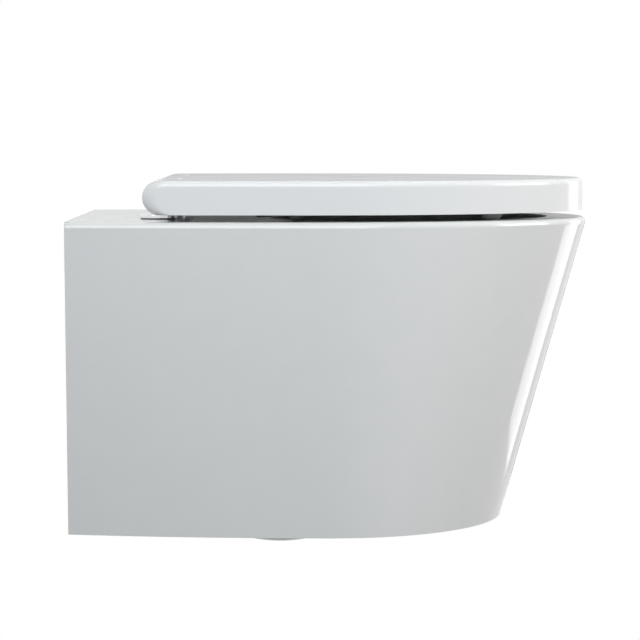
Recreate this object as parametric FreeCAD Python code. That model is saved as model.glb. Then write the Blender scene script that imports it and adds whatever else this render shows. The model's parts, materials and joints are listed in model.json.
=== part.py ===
import FreeCAD, Part
import math
import os

# Wall hung toilet, closed. Millimetres. The origin is on the wall plane, midway between the two
# wall bolts. X runs across, the pan stands out towards -Y, and Z is up.

os.makedirs("parts", exist_ok=True)
Vector = FreeCAD.Vector
ACROSS = Vector(1, 0, 0)
OUTWARD = Vector(0, -1, 0)
UP = Vector(0, 0, 1)

# ---------------------------------------------------------------- pan, outside
rim_above_bolts = 80.0
pan_height = 318.0
pan_length = 540.0
pan_width = 360.0
rim_back_width = 345.0
rim_widest_at = 250.0
foot_length = 449.5
foot_width = 357.0
foot_back_width = 311.0
foot_widest_at = 270.0
rim_edge_radius = 6.0
skirt_wall = 12.0
back_wall = 14.0
deck_thickness = 14.0

# ---------------------------------------------------------------- bowl
bowl_wall = 10.0
rim_band_side = 42.0
rim_band_front = 45.0
bowl_mouth_centre = 320.0
bowl_mouth_back = 133.0
bowl_lip_radius = 5.0
bowl_depth = 262.0
bowl_levels = 6
bowl_fullness = 2.5
sump_radius = 34.0
sump_centre = 302.0

# ---------------------------------------------------------------- trap and outlet
trap_inner_radius = 32.0
trap_wall = 8.0
trap_lead = 24.0
trap_lowest = 351.0
trap_lowest_at = 213.0
trap_bend_radius = 110.0
trap_climb = 60.0
weir_bend_radius = 50.0
outlet_below_rim = 180.0
outlet_radius = 51.0
outlet_bore_radius = 42.5
outlet_length = 52.0
outlet_front_wall = 6.0
trap_run = 12.0
outlet_opening_radius = 67.0

# ---------------------------------------------------------------- flush inlet
inlet_below_rim = 45.0
inlet_bore_radius = 27.5
inlet_depth = 50.0
inlet_wall = 9.0
flush_way_radius = 19.0
flush_way_overrun = 15.0

# ---------------------------------------------------------------- wall fixing
wall_bolt_spacing = 180.0
bolt_clearance_radius = 6.5
sleeve_wall = 3.0
sleeve_flange_radius = 14.0
sleeve_flange_thickness = 3.0
bolt_boss_radius = 20.0
bolt_boss_depth = 35.0

# ---------------------------------------------------------------- clearances
running = 0.05
seat_gap = 0.3
side_play = 1.0
overrun = 1.0

# ---------------------------------------------------------------- hinge line
hinge_spacing = 155.0
hinge_out = 94.0
hinge_height = 24.0
post_behind_axis = 6.0

# ---------------------------------------------------------------- hinge base and stud
base_radius = 20.0
base_thickness = 4.0
base_edge_radius = 1.0
gasket_radius = 18.0
gasket_thickness = 1.0
deck_hole_radius = 8.0
post_radius = 4.0
post_height = 25.0
post_groove_depth = 1.2
collar_radius = 7.0
collar_thickness = 2.0
shank_radius = 3.0
shank_past_nut = 2.0
cone_flare = 2.0
cone_taper = 4.5
cone_height = 20.0
cone_below_deck = 10.0
washer_radius = 15.0
washer_thickness = 2.0
wing_hub_radius = 8.0
wing_hub_height = 9.0
wing_span = 34.0
wing_thickness = 3.0
wing_step = 1.0

# ---------------------------------------------------------------- hinge barrels
barrel_radius = 15.0
barrel_length = 44.0
cover_reach = 17.0
cover_edge_radius = 7.0
neck_width = 28.0
neck_front_wall = 2.1
neck_back = 6.0
cartridge_radius = 9.0
cartridge_end_wall = 2.0
cartridge_post_wall = 2.0
shaft_radius = 5.0
shaft_flats = 7.0
lug_radius = 10.5
lug_length = 14.0
lug_end_wall = 2.0
pin_radius = 4.0
pin_post_wall = 4.0
bush_wall = 2.0

# ---------------------------------------------------------------- quick-release latch
latch_above_base = 4.0
latch_thickness = 3.0
latch_width = 12.0
latch_travel = 2.0
latch_lip = 3.5
latch_slack = 0.1
button_width = 16.0
button_height = 5.0
button_thickness = 2.5
spring_radius = 1.1
spring_wire_radius = 0.25
spring_turns = 3
spring_length = 4.5

# ---------------------------------------------------------------- lid
lid_inset = 4.0
lid_front_inset = 5.0
lid_wall = 4.5
lid_nose_radius = 17.0
lid_notch_play = 2.0
lug_notch_below_axis = 3.5
lid_edge_radius = 6.0
lid_corner_radius = 16.0
lid_bumper_radius = 6.0

# ---------------------------------------------------------------- ring
ring_underside = 7.0
ring_thickness = 15.0
ring_lid_gap = 4.0
ring_cover_gap = 4.0
ring_band_side = 59.5
ring_band_front = 66.5
ring_hole_centre = 330.0
ring_hole_back = 112.0
ring_edge_radius = 6.0
ring_corner_radius = 30.0
ring_foot_radius = 2.0
lug_neck_reach = 12.0
lug_neck_step = 1.5

# ---------------------------------------------------------------- bumpers
bumper_length = 24.0
bumper_radius = 8.0
bumper_recess = 3.0
rear_bumper_out = 231.0
rear_bumper_inset = 29.5
front_bumper_back = 95.5
front_bumper_inset = 14.6

# ---------------------------------------------------------------- worked out
rim_z = rim_above_bolts
foot_z = rim_z - pan_height
deck_low = rim_z - deck_thickness
outlet_z = rim_z - outlet_below_rim
inlet_z = rim_z - inlet_below_rim
bowl_mouth_half = pan_width / 2 - rim_band_side
bowl_mouth_front = pan_length - rim_band_front - bowl_mouth_centre

axis_y = -hinge_out
axis_z = rim_z + hinge_height
hinge_x = hinge_spacing / 2
post_out = hinge_out - post_behind_axis
base_top = rim_z + gasket_thickness + base_thickness
cone_low = rim_z - deck_thickness - cone_below_deck
nut_top = cone_low - washer_thickness
nut_low = nut_top - wing_hub_height

latch_z = base_top + latch_above_base
latch_front = -post_out - (post_radius - post_groove_depth + latch_slack) - latch_lip
spring_seat = latch_front - spring_length
neck_front = spring_seat - neck_front_wall
neck_rear = -post_out + neck_back
neck_top = axis_z - cartridge_radius
cartridge_length = barrel_length / 2 - post_radius - cartridge_post_wall
cartridge_bore_depth = cartridge_length - cartridge_end_wall
pin_hold = barrel_length / 2 - post_radius - pin_post_wall
lug_from = barrel_length / 2 + side_play
lug_bore_depth = lug_length - lug_end_wall

lid_top = axis_z + lid_nose_radius
lid_foot = axis_z - lid_nose_radius
lid_rear = hinge_out - lid_nose_radius
lid_ceiling = lid_top - lid_wall
ring_inset = lid_inset + lid_wall + ring_lid_gap
ring_half = pan_width / 2 - ring_inset
ring_length = pan_length - lid_front_inset - lid_wall - ring_lid_gap
ring_rear = hinge_out + cover_reach + ring_cover_gap
ring_foot = rim_z + ring_underside
ring_top = ring_foot + ring_thickness
KAPPA = 4 * (math.sqrt(2) - 1) / 3


def bezier(*points):
    """A Bezier curve as an edge."""
    curve = Part.BezierCurve()
    curve.setPoles(list(points))
    return curve.toShape()


def line(start, end):
    return Part.LineSegment(start, end).toShape()


def half_width_at(out, half, back_half, widest_at):
    """Half width of the pan's D at a distance out from the wall, behind its widest place."""
    return half - (half - back_half) * ((widest_at - out) / widest_at) ** 2


def d_wire(z, half, back_half, widest_at, length, back_at):
    """A D in plan: straight back edge, parabolic sides, half-elliptic front."""
    back_x = half_width_at(back_at, half, back_half, widest_at)
    handle = (back_at + widest_at) / 2
    nose = length - widest_at

    def point(x, out):
        return Vector(x, -out, z)

    return Part.Wire([
        line(point(-back_x, back_at), point(back_x, back_at)),
        bezier(point(back_x, back_at), point(half, handle), point(half, widest_at)),
        bezier(point(half, widest_at), point(half, widest_at + KAPPA * nose),
               point(KAPPA * half, length), point(0, length)),
        bezier(point(0, length), point(-KAPPA * half, length),
               point(-half, widest_at + KAPPA * nose), point(-half, widest_at)),
        bezier(point(-half, widest_at), point(-half, handle), point(-back_x, back_at)),
    ])


def egg_wire(z, half, centre, front, back):
    """An egg in plan, of four quarters that meet at its widest place."""
    def point(x, out):
        return Vector(x, -out, z)

    def quarter(side, reach):
        return bezier(point(side * half, centre), point(side * half, centre + KAPPA * reach),
                      point(side * KAPPA * half, centre + reach), point(0, centre + reach))

    def turned(side, reach):
        return bezier(point(0, centre + reach), point(side * KAPPA * half, centre + reach),
                      point(side * half, centre + KAPPA * reach), point(side * half, centre))

    return Part.Wire([quarter(1, front), turned(-1, front), quarter(-1, -back), turned(1, -back)])


def box(low, high):
    return Part.makeBox(high.x - low.x, high.y - low.y, high.z - low.z, low)


def rod(radius, length, start, direction):
    return Part.makeCylinder(radius, length, start, direction)


def drill(radius, length, start, direction):
    """A rod for cutting, which runs past both its ends."""
    return rod(radius, length + 2 * overrun, start - direction * overrun, direction)


def union(shapes):
    return shapes[0].multiFuse(shapes[1:]).removeSplitter()


def solid_of(shape):
    """The one solid that a cut or union left, without its compound wrapper."""
    return shape.Solids[0] if len(shape.Solids) == 1 else shape


def level_edges(shape, z):
    """The edges that lie flat at a height."""
    return [edge for edge in shape.Edges
            if edge.BoundBox.ZMin > z - 0.01 and edge.BoundBox.ZMax < z + 0.01]


def save(name, *shapes):
    """Writes one node: one solid, or a group of separate solids."""
    shape = solid_of(shapes[0]) if len(shapes) == 1 else Part.makeCompound(list(shapes))
    count = len(shape.Solids)
    print(f"{name:22s} solids {count} volume {shape.Volume / 1000:10.2f} cm3 valid {shape.isValid()}")
    shape.exportStep(f"parts/{name}.step")


# ---------------------------------------------------------------- pan
def skirt_wire(z, inset, back_at):
    """The pan's outline at a height, drawn in by a wall."""
    share = (z - foot_z) / pan_height

    def between(foot, rim):
        return foot + (rim - foot) * share

    return d_wire(z, between(foot_width, pan_width) / 2 - inset,
                  between(foot_back_width, rim_back_width) / 2 - inset,
                  between(foot_widest_at, rim_widest_at),
                  between(foot_length, pan_length) - inset, back_at)


def rim_edges(shape):
    """The outer edges of the pan's top face that don't touch the wall."""
    def on_rim(edge):
        bounds = edge.BoundBox
        return bounds.ZMin > rim_z - 0.01 and bounds.YMin < -1

    return [edge for edge in shape.Edges if on_rim(edge)]


def mouth_edges(shape):
    """The edges round the bowl's mouth, in the pan's top face."""
    front = -(bowl_mouth_centre + bowl_mouth_front)
    back = -(bowl_mouth_centre - bowl_mouth_back)
    return [edge for edge in level_edges(shape, rim_z)
            if edge.BoundBox.YMin > front - 1 and edge.BoundBox.YMax < back + 1]


def region(out_from, out_to, low, high):
    """All that lies between two distances out from the wall and two heights."""
    return box(Vector(-pan_width, -out_to, low), Vector(pan_width, -out_from, high))


def pan_outside():
    """The pan's whole outer form, which runs a little into the wall."""
    form = Part.makeLoft([skirt_wire(foot_z, 0, -overrun), skirt_wire(rim_z, 0, -overrun)], True, True)
    return form.makeFillet(rim_edge_radius, rim_edges(form))


def pan_inside():
    """The room inside the walls, which runs a little into the deck, the back wall and the floor."""
    out = back_wall - overrun
    return Part.makeLoft([skirt_wire(foot_z - skirt_wall, skirt_wall, out),
                          skirt_wire(deck_low + overrun, skirt_wall, out)], True, True)


def bowl(grow, top):
    """The bowl as a closed form, grown by its wall for the outside.

    Its walls start upright at the mouth and draw in ever faster to the round sump."""
    wires = []
    for level in range(bowl_levels):
        depth = level / (bowl_levels - 1)
        open_share = 1 - depth ** bowl_fullness

        def between(sump, mouth):
            return sump + (mouth - sump) * open_share

        z = rim_z - depth * (bowl_depth + grow) if level else top
        wires.append(egg_wire(z, between(sump_radius, bowl_mouth_half) + grow,
                              between(sump_centre, bowl_mouth_centre),
                              between(sump_radius, bowl_mouth_front) + grow,
                              between(sump_radius, bowl_mouth_back) + grow))
    return Part.makeLoft(wires, True, False)


def trap_pipe(radius, lead):
    """The trap: down from the sump, along its low bend, up, and over the weir to the outlet."""
    climb = math.radians(trap_climb)
    low_z = rim_z - trap_lowest + trap_inner_radius + trap_wall
    centre = Vector(0, -trap_lowest_at, low_z + trap_bend_radius)

    def on_bend(angle):
        return centre + Vector(0, math.sin(angle), -math.cos(angle)) * trap_bend_radius

    down = Vector(0, math.cos(climb), -math.sin(climb))
    up = Vector(0, math.cos(climb), math.sin(climb))
    enter, bottom, leave = on_bend(-climb), on_bend(0), on_bend(climb)
    start = enter - down * lead
    bend_rise = weir_bend_radius * (1 - math.cos(climb))
    straight = (outlet_z - bend_rise - leave.z) / math.sin(climb)
    over = leave + up * straight
    turn = Vector(0, over.y + weir_bend_radius * math.sin(climb), outlet_z - weir_bend_radius)
    half = climb / 2
    crest = turn + Vector(0, -math.sin(half), math.cos(half)) * weir_bend_radius
    level = turn + Vector(0, 0, weir_bend_radius)
    path = Part.Wire([
        line(start, enter),
        Part.Arc(enter, bottom, leave).toShape(),
        line(leave, over),
        Part.Arc(over, crest, level).toShape(),
        line(level, level - OUTWARD * trap_run),
    ])
    profile = Part.Wire([Part.makeCircle(radius, start, down)])
    return path.makePipeShell([profile], True, False)


def bolt_places():
    return [Vector(side * wall_bolt_spacing / 2, 0, 0) for side in (-1, 1)]


def hinge_places():
    return [(side, side * hinge_x) for side in (-1, 1)]


def make_pan():
    """One fired piece, in seven nodes that meet face to face so that each hollow stays open."""
    reach = pan_length + overrun
    low = foot_z - overrun
    outside = pan_outside()
    outlet_at = Vector(0, 0, outlet_z)
    inlet_at = Vector(0, 0, inlet_z)
    flush_reach = bowl_mouth_centre - bowl_mouth_back
    basin = bowl(bowl_wall, deck_low)
    hollow = bowl(0, rim_z + overrun)
    trap_way = trap_pipe(trap_inner_radius, trap_lead + seat_gap)
    flush_way = rod(flush_way_radius, flush_reach + flush_way_overrun, inlet_at, OUTWARD)
    inlet = rod(inlet_bore_radius + inlet_wall, inlet_depth + inlet_wall, inlet_at, OUTWARD)
    spigot = rod(outlet_radius, outlet_length, outlet_at, OUTWARD)

    deck_holes = [drill(deck_hole_radius, deck_thickness, post_at(x, rim_z), -UP)
                  for side, x in hinge_places()]
    rim = outside.common(region(0, reach, deck_low, rim_z + overrun)).cut([hollow] + deck_holes)
    rim = solid_of(rim)
    save("pan_rim", rim.makeFillet(bowl_lip_radius, mouth_edges(rim)))

    walls = outside.common(region(back_wall, reach, low, deck_low))
    save("pan_skirt", walls.cut(pan_inside()))

    bosses = [rod(bolt_boss_radius, bolt_boss_depth, place, OUTWARD) for place in bolt_places()]
    holes = [drill(bolt_clearance_radius + sleeve_wall + running, bolt_boss_depth, place, OUTWARD)
             for place in bolt_places()]
    holes.append(drill(outlet_opening_radius, back_wall, outlet_at, OUTWARD))
    plate = outside.common(region(0, back_wall, low, deck_low))
    save("pan_back", union([plate] + bosses).cut(holes + [inlet]))

    save("pan_bowl", basin.cut([hollow, trap_way, flush_way]))

    trap = trap_pipe(trap_inner_radius + trap_wall, trap_lead)
    save("pan_trap", trap.cut([basin, trap_way, spigot]))

    bore = drill(outlet_bore_radius, outlet_length - outlet_front_wall - overrun,
                 outlet_at, OUTWARD)
    save("pan_outlet", spigot.cut([bore, trap_way]))

    tube = rod(flush_way_radius + inlet_wall, flush_reach - inlet_depth,
               inlet_at + OUTWARD * inlet_depth, OUTWARD)
    bore = rod(inlet_bore_radius, inlet_depth + overrun, inlet_at - OUTWARD * overrun, OUTWARD)
    ways = union([inlet, tube]).common(region(0, reach, low, deck_low))
    save("pan_inlet", ways.cut([basin, bore, flush_way]))


def make_wall_sleeves():
    """Plastic liners of the two wall bolt holes, flanged on the inside."""
    sleeves = []
    for place in bolt_places():
        tube = rod(bolt_clearance_radius + sleeve_wall, bolt_boss_depth, place, OUTWARD)
        flange = rod(sleeve_flange_radius, sleeve_flange_thickness,
                     place + OUTWARD * bolt_boss_depth, OUTWARD)
        bore = drill(bolt_clearance_radius, bolt_boss_depth + sleeve_flange_thickness, place, OUTWARD)
        sleeves.append(solid_of(union([tube, flange]).cut(bore)))
    save("wall_sleeves", *sleeves)


# ---------------------------------------------------------------- hinge bases and studs
def post_at(x, z):
    return Vector(x, -post_out, z)


def make_base(name, x):
    disc = rod(base_radius, base_thickness, post_at(x, rim_z + gasket_thickness), UP)
    disc = disc.makeFillet(base_edge_radius, level_edges(disc, base_top))
    save(name, disc.cut(drill(shank_radius + running, base_thickness, post_at(x, base_top), -UP)))


def washer_shape(radius, thickness, hole_radius, x, low):
    """A flat ring round a post's centre line."""
    place = post_at(x, low)
    return solid_of(rod(radius, thickness, place, UP).cut(drill(hole_radius, thickness, place, UP)))


def make_gaskets():
    save("base_gaskets", *[washer_shape(gasket_radius, gasket_thickness, deck_hole_radius, x, rim_z)
                           for side, x in hinge_places()])


def stud(x):
    """A post with its latch groove and collar above the base, and a threaded shank below."""
    post = rod(post_radius, post_height, post_at(x, base_top), UP)
    post = post.makeChamfer(post_radius / 4, level_edges(post, base_top + post_height))
    collar = rod(collar_radius, collar_thickness, post_at(x, base_top), UP)
    shank = rod(shank_radius, base_top - nut_low + shank_past_nut, post_at(x, base_top), -UP)
    groove_height = latch_thickness + 2 * latch_slack
    groove = washer_shape(post_radius + overrun, groove_height, post_radius - post_groove_depth,
                          x, latch_z - latch_slack)
    return solid_of(union([post, collar, shank]).cut(groove))


def cone_bush(x):
    """A rubber cone that is just free of the deck hole where it enters it from below."""
    cone = Part.makeCone(deck_hole_radius + cone_flare, deck_hole_radius + cone_flare - cone_taper,
                         cone_height, post_at(x, cone_low), UP)
    return solid_of(cone.cut(drill(shank_radius + running, cone_height, post_at(x, cone_low), UP)))


def wing_nut(x):
    hub = rod(wing_hub_radius, wing_hub_height, post_at(x, nut_low), UP)
    wings = box(Vector(x - wing_span / 2, -post_out - wing_thickness / 2, nut_low),
                Vector(x + wing_span / 2, -post_out + wing_thickness / 2, nut_top - wing_step))
    bore = drill(shank_radius + running, wing_hub_height, post_at(x, nut_low), UP)
    return solid_of(union([hub, wings]).cut(bore))


def make_studs():
    places = [x for side, x in hinge_places()]
    save("hinge_studs", *[stud(x) for x in places])
    save("cone_bushes", *[cone_bush(x) for x in places])
    save("clamp_washers", *[washer_shape(washer_radius, washer_thickness, shank_radius + running,
                                         x, nut_top) for x in places])
    save("wing_nuts", *[wing_nut(x) for x in places])


# ---------------------------------------------------------------- hinge barrels
def on_axis(x):
    return Vector(x, axis_y, axis_z)


def axle(radius, start_x, end_x):
    """A rod on the hinge axis between two places across."""
    return rod(radius, end_x - start_x, on_axis(start_x), ACROSS)


def make_barrel(name, x):
    """The fixed housing: cartridge bore on its -X end, pin hole on its +X end, post socket below."""
    left, right = x - barrel_length / 2, x + barrel_length / 2
    half_neck, half_latch = neck_width / 2, latch_width / 2 + seat_gap
    cover_top = axis_z + barrel_radius
    cover = box(Vector(left, axis_y - cover_reach, neck_top), Vector(right, axis_y, cover_top))
    front_top = [edge for edge in level_edges(cover, cover_top)
                 if edge.BoundBox.YMax < axis_y - cover_reach / 2]
    solids = [
        axle(barrel_radius, left, right),
        box(Vector(x - half_neck, neck_front, base_top), Vector(x + half_neck, neck_rear, neck_top)),
        cover.makeFillet(cover_edge_radius, front_top),
    ]
    bores = [
        axle(cartridge_radius + running, left - overrun, left + cartridge_length),
        axle(pin_radius + running, right - pin_hold, right + overrun),
        drill(post_radius + running, post_height, post_at(x, base_top), UP),
        rod(collar_radius + seat_gap, collar_thickness + seat_gap, post_at(x, base_top), UP),
        box(Vector(x - half_latch, spring_seat, latch_z - seat_gap),
            Vector(x + half_latch, neck_rear + overrun, latch_z + latch_thickness + seat_gap)),
    ]
    save(name, union(solids).cut(bores))


def make_latch(name, x):
    """A plate whose lip stands in the post's groove, with its button behind the housing."""
    button_face = neck_rear + latch_travel + seat_gap
    button_rear = button_face + button_thickness
    middle = latch_z + latch_thickness / 2
    window_half = post_radius + seat_gap
    plate = box(Vector(x - latch_width / 2, latch_front, latch_z),
                Vector(x + latch_width / 2, button_face + button_thickness / 2,
                       latch_z + latch_thickness))
    button = box(Vector(x - button_width / 2, button_face, middle - button_height / 2),
                 Vector(x + button_width / 2, button_rear, middle + button_height / 2))
    rear_edges = [edge for edge in button.Edges if edge.BoundBox.YMin > button_rear - 0.01]
    button = button.makeFillet(button_thickness / 3, rear_edges)
    window = box(Vector(x - window_half, latch_front + latch_lip, latch_z - overrun),
                 Vector(x + window_half, -post_out + window_half + latch_travel,
                        latch_z + latch_thickness + overrun))
    save(name, union([plate, button]).cut(window))


def make_latch_spring(name, x):
    """A compression spring between the latch plate and the housing's front wall."""
    height = spring_length - 2 * (spring_wire_radius + latch_slack)
    helix = Part.makeHelix(height / spring_turns, height, spring_radius)
    start = Vector(spring_radius, 0, 0)
    profile = Part.Wire([Part.makeCircle(spring_wire_radius, start, Vector(0, 1, 0))])
    coil = Part.Wire(helix.Edges).makePipeShell([profile], True, True)
    coil.rotate(Vector(0, 0, 0), ACROSS, 90)
    coil.translate(Vector(x, latch_front - spring_wire_radius - latch_slack,
                          latch_z + latch_thickness / 2))
    save(name, coil)


def make_damper(name, x):
    """The soft-close cartridge, closed at its inner end."""
    left = x - barrel_length / 2
    body = axle(cartridge_radius, left, left + cartridge_length)
    save(name, body.cut(axle(shaft_radius + running, left - overrun, left + cartridge_bore_depth)))


def flatted(radius, across, start_x, end_x):
    """A rod on the axis with two flats, so that it turns what it stands in."""
    slab = box(Vector(start_x, axis_y - radius, axis_z - across / 2),
               Vector(end_x, axis_y + radius, axis_z + across / 2))
    return axle(radius, start_x, end_x).common(slab)


def make_damper_shaft(name, x):
    left = x - barrel_length / 2
    round_part = axle(shaft_radius, left - side_play / 2, left + cartridge_bore_depth - seat_gap)
    flat_part = flatted(shaft_radius, shaft_flats, x - lug_from - lug_bore_depth + seat_gap,
                        left - side_play / 2)
    save(name, union([round_part, flat_part]))


def make_pivot_pin(name, x):
    right = x + barrel_length / 2
    save(name, axle(pin_radius, right - pin_hold + seat_gap, x + lug_from + lug_bore_depth - seat_gap))


def make_bush(name, x):
    start, end = x + lug_from, x + lug_from + lug_bore_depth
    save(name, axle(pin_radius + bush_wall, start, end).cut(
        axle(pin_radius + running, start - overrun, end + overrun)))


def drive_lug(x):
    """The lug on a barrel's -X end and the flatted hole that its damper shaft turns it by."""
    lug = axle(lug_radius, x - lug_from - lug_length, x - lug_from)
    hole = flatted(shaft_radius + running, shaft_flats + 2 * running,
                   x - lug_from - lug_bore_depth, x - lug_from + overrun)
    return lug, hole


def pin_lug(x):
    """The lug on a barrel's +X end and the round hole of its bush."""
    lug = axle(lug_radius, x + lug_from, x + lug_from + lug_length)
    hole = axle(pin_radius + bush_wall + running, x + lug_from - overrun,
                x + lug_from + lug_bore_depth)
    return lug, hole


# ---------------------------------------------------------------- ring
def prism(wire, height):
    return Part.Face(wire).extrude(UP * height)


def upright_edges(shape, rear):
    """The two vertical edges at a rear corner pair, between the back and the sides."""
    return [edge for edge in shape.Edges
            if edge.BoundBox.ZLength > overrun and edge.BoundBox.YMin > -rear - 0.01]


def ring_plate():
    outline = d_wire(ring_foot, ring_half, rim_back_width / 2 - ring_inset, rim_widest_at,
                     ring_length, ring_rear)
    plate = prism(outline, ring_thickness)
    plate = plate.makeFillet(ring_corner_radius, upright_edges(plate, ring_rear))
    hole = egg_wire(ring_foot - overrun, ring_half - ring_band_side, ring_hole_centre,
                    ring_length - ring_band_front - ring_hole_centre, ring_hole_back)
    plate = solid_of(plate.cut(prism(hole, ring_thickness + 2 * overrun)))
    plate = plate.makeFillet(ring_edge_radius, level_edges(plate, ring_top))
    return plate.makeFillet(ring_foot_radius, level_edges(plate, ring_foot))


def bumper_places():
    """Where the four pads of the ring stand, and which way each one lies.

    The rear two lie across the ring's sides, and the front two along its curved front."""
    front_out = ring_length - front_bumper_back
    front_share = (front_out - rim_widest_at) / (ring_length - rim_widest_at)
    front_across = ring_half * math.sqrt(1 - front_share ** 2) - front_bumper_inset
    return [(side * across, -out, lengthways)
            for across, out, lengthways in ((ring_half - rear_bumper_inset, rear_bumper_out, ACROSS),
                                            (front_across, front_out, OUTWARD))
            for side in (-1, 1)]


def slot(x, y, lengthways, low, high, radius):
    """An upright form with round ends, lying across or lengthways."""
    half = bumper_length / 2 - bumper_radius
    ends = [rod(radius, high - low, Vector(x, y, low) + lengthways * half * end, UP)
            for end in (-1, 1)]
    reach = Vector(abs(lengthways.x) * half or radius, abs(lengthways.y) * half or radius, 0)
    middle = box(Vector(x, y, low) - reach, Vector(x, y, high) + reach)
    return solid_of(union(ends + [middle]))


def bumper(x, y, lengthways):
    """A pad that is half round below, where it meets the rim, and stands in the ring's recess."""
    low = rim_z + seat_gap
    high = ring_foot + bumper_recess
    centre = Vector(x, y, low + bumper_radius)
    half = bumper_length / 2 - bumper_radius
    balls = [Part.makeSphere(bumper_radius, centre + lengthways * half * end) for end in (-1, 1)]
    barrel = rod(bumper_radius, 2 * half, centre - lengthways * half, lengthways)
    below = union(balls + [barrel]).common(slot(x, y, lengthways, low, centre.z, bumper_radius))
    return solid_of(union([below, slot(x, y, lengthways, centre.z, high, bumper_radius)]))


def make_ring():
    lugs, holes = [], []
    for lug, hole in (drive_lug(hinge_x), pin_lug(-hinge_x)):
        bounds = lug.BoundBox
        neck = box(Vector(bounds.XMin, -ring_rear - lug_neck_reach, axis_z - lug_radius),
                   Vector(bounds.XMax, axis_y, ring_top - lug_neck_step))
        lugs += [lug, neck]
        holes.append(hole)
    for x, y, lengthways in bumper_places():
        holes.append(slot(x, y, lengthways, ring_foot - overrun, ring_foot + bumper_recess,
                          bumper_radius + running))
    save("seat_ring", union([ring_plate()] + lugs).cut(holes))


def make_rim_bumpers():
    save("rim_bumpers", *[bumper(*place) for place in bumper_places()])


# ---------------------------------------------------------------- lid
def lid_prism(wall, low, high):
    """The lid's D between two heights, drawn in by a wall, with round rear corners."""
    outline = d_wire(low, pan_width / 2 - lid_inset - wall, rim_back_width / 2 - lid_inset - wall,
                     rim_widest_at, pan_length - lid_front_inset - wall,
                     lid_rear + wall)
    plate = prism(outline, high - low)
    return plate.makeFillet(lid_corner_radius - wall, upright_edges(plate, lid_rear + wall))


def in_front(shape):
    """What lies in front of the hinge axis."""
    bounds = shape.BoundBox
    return shape.common(box(Vector(bounds.XMin, bounds.YMin, bounds.ZMin),
                            Vector(bounds.XMax, axis_y, bounds.ZMax)))


def lid_shell():
    reach = pan_width / 2
    outer = lid_prism(0, lid_foot, lid_top)
    outer = outer.makeFillet(lid_edge_radius, [edge for edge in level_edges(outer, lid_top)
                                               if edge.BoundBox.YMin < axis_y])
    nose = outer.common(axle(lid_nose_radius, -reach, reach))
    outer = union([in_front(outer), nose])
    inner = lid_prism(lid_wall, lid_foot - overrun, lid_ceiling)
    hollow = [in_front(inner), inner.common(axle(lid_nose_radius - lid_wall, -reach, reach))]
    return outer.cut(hollow)


def lid_notches():
    """Room in the lid's rear edge for the two housings, and for the ring's lugs when the lid turns."""
    rear = -lid_rear + overrun
    below = lid_foot - overrun
    notches = []
    for side, x in hinge_places():
        notches.append(box(Vector(x - lug_from, axis_y - cover_reach - lid_notch_play, below),
                           Vector(x + lug_from, rear, lid_top + overrun)))
        near = side * (hinge_x - lug_from - lug_length - side_play)
        far = side * hinge_x
        notches.append(box(Vector(min(near, far), axis_y - overrun, below),
                           Vector(max(near, far), rear, axis_z - lug_notch_below_axis)))
    return notches


def make_lid():
    lugs, holes = [], lid_notches()
    for lug, hole in (drive_lug(-hinge_x), pin_lug(hinge_x)):
        bounds = lug.BoundBox
        web = box(Vector(bounds.XMin, axis_y - lug_radius, axis_z),
                  Vector(bounds.XMax, axis_y + lug_radius / 2, lid_ceiling + overrun))
        lugs += [lug, web]
        holes.append(hole)
    save("lid", union([solid_of(lid_shell())] + lugs).cut(holes))


def make_lid_bumpers():
    save("lid_bumpers", *[rod(lid_bumper_radius, lid_ceiling - ring_top - seat_gap,
                              Vector(x, y, ring_top + seat_gap), UP)
                          for x, y, lengthways in bumper_places()])


make_pan()
make_wall_sleeves()
make_gaskets()
make_studs()
for side_name, place_x in (("left", -hinge_x), ("right", hinge_x)):
    make_base("hinge_base_" + side_name, place_x)
    make_barrel("hinge_barrel_" + side_name, place_x)
    make_latch("latch_" + side_name, place_x)
    make_latch_spring("latch_spring_" + side_name, place_x)
make_damper("damper_lid", -hinge_x)
make_damper_shaft("damper_shaft_lid", -hinge_x)
make_damper("damper_ring", hinge_x)
make_damper_shaft("damper_shaft_ring", hinge_x)
make_pivot_pin("pivot_pin_ring", -hinge_x)
make_bush("bush_ring", -hinge_x)
make_pivot_pin("pivot_pin_lid", hinge_x)
make_bush("bush_lid", hinge_x)
make_ring()
make_rim_bumpers()
make_lid()
make_lid_bumpers()
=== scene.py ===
import bpy
import json
import math
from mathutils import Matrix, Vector


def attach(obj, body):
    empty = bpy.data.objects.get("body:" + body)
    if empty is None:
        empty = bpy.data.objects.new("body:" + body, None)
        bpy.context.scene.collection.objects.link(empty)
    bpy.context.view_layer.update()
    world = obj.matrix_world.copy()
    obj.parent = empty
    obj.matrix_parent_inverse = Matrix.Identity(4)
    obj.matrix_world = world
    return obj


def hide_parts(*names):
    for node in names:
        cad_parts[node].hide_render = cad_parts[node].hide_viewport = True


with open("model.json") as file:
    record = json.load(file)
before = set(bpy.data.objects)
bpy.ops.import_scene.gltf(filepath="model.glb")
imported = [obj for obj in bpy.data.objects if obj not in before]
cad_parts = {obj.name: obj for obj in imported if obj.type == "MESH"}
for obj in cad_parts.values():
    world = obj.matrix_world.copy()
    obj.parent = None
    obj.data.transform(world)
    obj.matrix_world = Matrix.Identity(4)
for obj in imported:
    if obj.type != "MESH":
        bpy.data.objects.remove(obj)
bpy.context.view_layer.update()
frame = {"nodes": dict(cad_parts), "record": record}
nodes = frame["nodes"]

# ---------------------------------------------------------------- sizes, in metres
RIM_Z = 0.080
FOOT_Z = -0.238
AXIS_Y = -0.094
AXIS_Z = 0.104

# how finely a curve is drawn, and a quarter circle's handle as a share of its radius
CURVE_STEPS = 24
KAPPA = 4 * (math.sqrt(2) - 1) / 3

# places within TOUCH of each other touch, and within SAME they are one
TOUCH = 1e-5
SAME = 1e-6

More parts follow.
